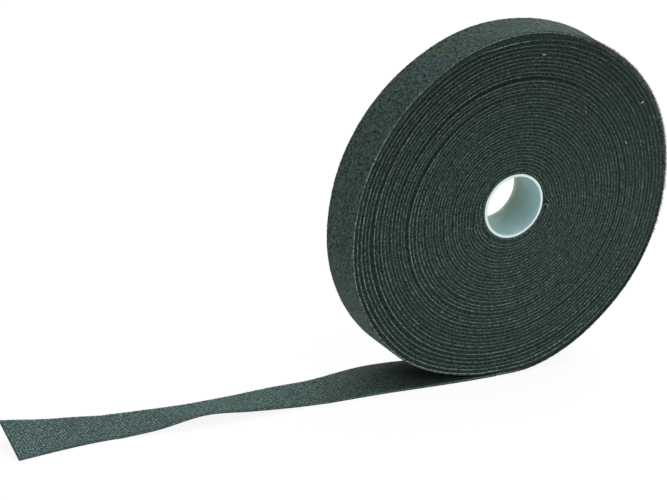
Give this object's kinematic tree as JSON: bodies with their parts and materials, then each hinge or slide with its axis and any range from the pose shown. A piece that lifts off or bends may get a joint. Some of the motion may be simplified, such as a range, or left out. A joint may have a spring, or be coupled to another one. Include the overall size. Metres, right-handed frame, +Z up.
{
  "type": "hook and loop tape roll",
  "caption": "Roll of black back-to-back hook and loop tape on a thin white plastic core, standing on edge with its free end run out flat; the end winds back on to the roll.",
  "frame": {"origin": "on the floor under the roll's axis, half way across the tape", "axes": "+Z up; Y along the roll's axis, with the pictured side at -Y; the free end runs to -X"},
  "size_m": [0.2974, 0.0235, 0.1512],
  "materials": {
    "core_plastic": "smooth white moulded tube, slightly translucent",
    "loop_pile": "black brushed loop pile, fuzzy",
    "hook_film": "black moulded film with rows of tiny hooks",
    "tape_edge": "black slit edges of tightly wound tape"
  },
  "bodies": {
    "roll": {"core_tube": "core_plastic", "folded_start": "loop_pile", "packed_turns": "tape_edge", "wound_loop_layer": "loop_pile", "wound_hook_layer": "hook_film", "foot_loop": "loop_pile", "foot_hook": "hook_film"},
    "tail_01": {"tail_loop_01": "loop_pile", "tail_hook_01": "hook_film"},
    "tail_02": {"tail_loop_02": "loop_pile", "tail_hook_02": "hook_film"},
    "tail_03": {"tail_loop_03": "loop_pile", "tail_hook_03": "hook_film"},
    "tail_04": {"tail_loop_04": "loop_pile", "tail_hook_04": "hook_film"},
    "tail_05": {"tail_loop_05": "loop_pile", "tail_hook_05": "hook_film"},
    "tail_06": {"tail_loop_06": "loop_pile", "tail_hook_06": "hook_film"},
    "tail_07": {"tail_loop_07": "loop_pile", "tail_hook_07": "hook_film"},
    "tail_08": {"tail_loop_08": "loop_pile", "tail_hook_08": "hook_film"},
    "tail_09": {"tail_loop_09": "loop_pile", "tail_hook_09": "hook_film"},
    "tail_10": {"tail_loop_10": "loop_pile", "tail_hook_10": "hook_film"}
  },
  "joints": [
    {"name": "tail_bend_01", "type": "hinge", "parent": "roll", "child": "tail_01", "pos_m": [-0.01057, 0, 0.00105], "axis": [0, 1, 0], "range_deg": [0, 7]},
    {"name": "tail_bend_02", "type": "hinge", "parent": "tail_01", "child": "tail_02", "pos_m": [-0.03171, 0, 0.00348], "axis": [0, 1, 0], "range_deg": [0, 15.75]},
    {"name": "tail_bend_03", "type": "hinge", "parent": "tail_02", "child": "tail_03", "pos_m": [-0.05286, 0, 0.00365], "axis": [0, 1, 0], "range_deg": [0, 15.75]},
    {"name": "tail_bend_04", "type": "hinge", "parent": "tail_03", "child": "tail_04", "pos_m": [-0.074, 0, 0.0014], "axis": [0, 1, 0], "range_deg": [0, 15.75]},
    {"name": "tail_bend_05", "type": "hinge", "parent": "tail_04", "child": "tail_05", "pos_m": [-0.09514, 0, 0.00192], "axis": [0, 1, 0], "range_deg": [0, 15.75]},
    {"name": "tail_bend_06", "type": "hinge", "parent": "tail_05", "child": "tail_06", "pos_m": [-0.11629, 0, 0.00417], "axis": [0, 1, 0], "range_deg": [0, 15.75]},
    {"name": "tail_bend_07", "type": "hinge", "parent": "tail_06", "child": "tail_07", "pos_m": [-0.13743, 0, 0.00602], "axis": [0, 1, 0], "range_deg": [0, 15.75]},
    {"name": "tail_bend_08", "type": "hinge", "parent": "tail_07", "child": "tail_08", "pos_m": [-0.15857, 0, 0.00262], "axis": [0, 1, 0], "range_deg": [0, 15.75]},
    {"name": "tail_bend_09", "type": "hinge", "parent": "tail_08", "child": "tail_09", "pos_m": [-0.17971, 0, 0.00175], "axis": [0, 1, 0], "range_deg": [0, 15.75]},
    {"name": "tail_bend_10", "type": "hinge", "parent": "tail_09", "child": "tail_10", "pos_m": [-0.20086, 0, 0.00485], "axis": [0, 1, 0], "range_deg": [0, 15.75]}
  ]
}
